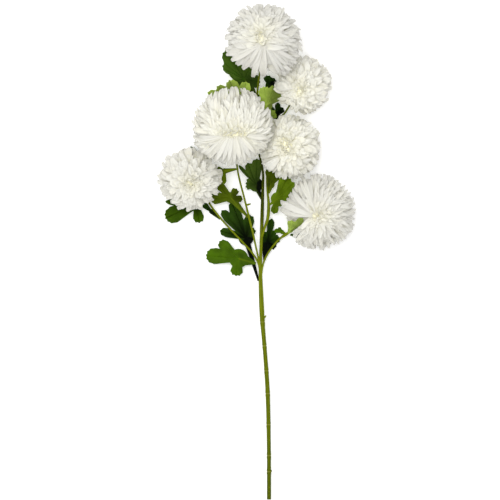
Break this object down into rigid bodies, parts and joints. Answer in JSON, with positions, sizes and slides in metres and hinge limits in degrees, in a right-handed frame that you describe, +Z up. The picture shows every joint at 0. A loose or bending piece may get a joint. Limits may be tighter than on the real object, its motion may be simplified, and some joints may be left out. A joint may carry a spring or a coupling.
{
  "type": "pompon chrysanthemum",
  "caption": "Cut spray of white pompon chrysanthemum, lying down: round many-petalled blooms on one branched stem with lobed leaves.",
  "frame": {"origin": "centre of the base of the bounding box, on the surface the spray lies on", "axes": "+Y from the stem's cut end towards the top bloom, +Z up from the surface, +X to the right seen from above"},
  "size_m": [0.2738, 0.6936, 0.1319],
  "materials": {
    "petal": "soft matte warm white petal, creamy towards the heart",
    "stem": "satin olive green bark",
    "calyx": "matte green",
    "leaf_dark": "satin dark green leaf",
    "leaf_mid": "satin mid green leaf",
    "leaf_olive": "satin olive green leaf",
    "leaf_bright": "satin bright green leaf",
    "leaf_pale": "satin pale green leaf"
  },
  "bodies": {
    "root": {"stem": "stem", "bloom_top": "petal", "bloom_upper_right": "petal", "bloom_centre": "petal", "bloom_mid_right": "petal", "bloom_left": "petal", "bloom_lower_right": "petal", "calyx_top": "calyx", "calyx_upper_right": "calyx", "calyx_centre": "calyx", "calyx_mid_right": "calyx", "calyx_left": "calyx", "calyx_lower_right": "calyx", "leaf_low_left": "leaf_mid", "leaf_under_left": "leaf_mid", "leaf_along_left": "leaf_dark", "leaf_behind_left": "leaf_dark", "leaf_dark_centre": "leaf_dark", "leaf_olive": "leaf_olive", "leaf_under_centre": "leaf_olive", "leaf_heart": "leaf_dark", "leaf_beside_stem": "leaf_olive", "leaf_bright_right": "leaf_bright", "leaf_dark_right": "leaf_dark", "leaf_neck_right": "leaf_pale", "leaf_neck_left": "leaf_mid", "leaf_under_lower_right": "leaf_dark", "leaf_upper_left": "leaf_dark", "leaf_pale_left": "leaf_pale", "leaf_pale_right": "leaf_pale", "leaf_dark_upper_right": "leaf_dark", "leaf_between": "leaf_bright", "leaf_low_upper_right": "leaf_dark"}
  },
  "joints": []
}
